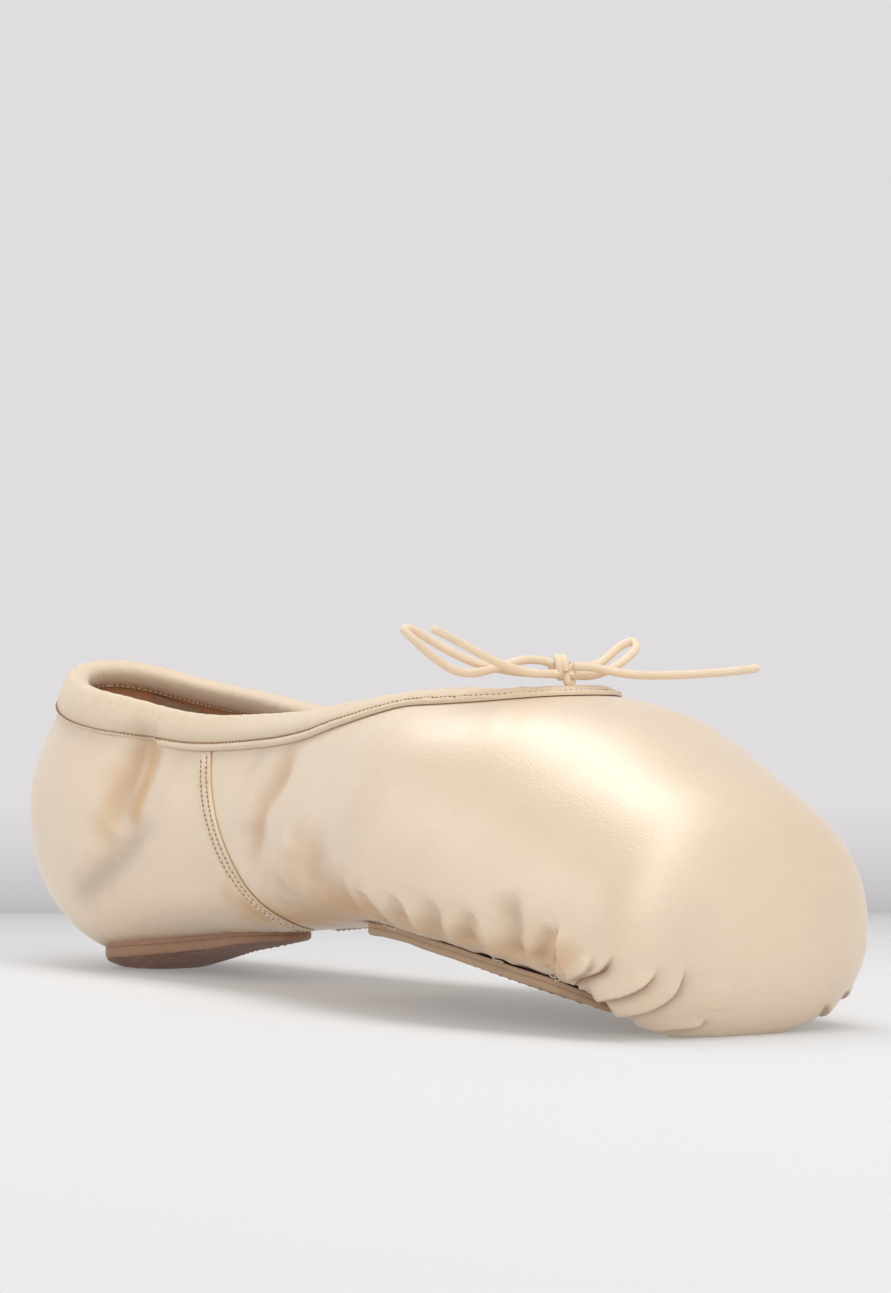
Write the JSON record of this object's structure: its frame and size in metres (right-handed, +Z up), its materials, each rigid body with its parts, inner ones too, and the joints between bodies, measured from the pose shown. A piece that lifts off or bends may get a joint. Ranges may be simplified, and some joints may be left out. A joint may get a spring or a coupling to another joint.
{
  "type": "pointe shoe",
  "caption": "Satin pointe shoe with a stiffened toe box, split leather sole, folded collar binding and a drawstring tied in a small bow at the throat.",
  "frame": {"origin": "on the floor plane, under the middle of the shoe's length and width", "axes": "+X from the heel to the toe, +Y to the shoe's left side, +Z up from the floor"},
  "size_m": [0.238, 0.0739, 0.0726],
  "materials": {
    "satin": "peach satin, soft sheen with a fine weave",
    "front_sole_suede": "tan suede leather, matt, with a darker cut edge",
    "heel_sole_leather": "reddish-brown scuffed leather with a lighter edge",
    "insole_board": "pale matt insole leather",
    "binding_cotton": "soft brushed cotton tape with a row of stitches",
    "seam_satin": "twin-stitched satin seam",
    "cotton_cord": "smooth cotton cord, matt"
  },
  "bodies": {
    "root": {"upper": "satin", "front_sole": "front_sole_suede", "heel_sole": "heel_sole_leather", "insole": "insole_board", "collar_binding": "binding_cotton", "side_seam_right": "seam_satin", "side_seam_left": "seam_satin", "drawstring_knot": "cotton_cord", "drawstring_loop_left": "cotton_cord", "drawstring_loop_right": "cotton_cord", "drawstring_end_left": "cotton_cord", "drawstring_end_right": "cotton_cord"}
  },
  "joints": []
}
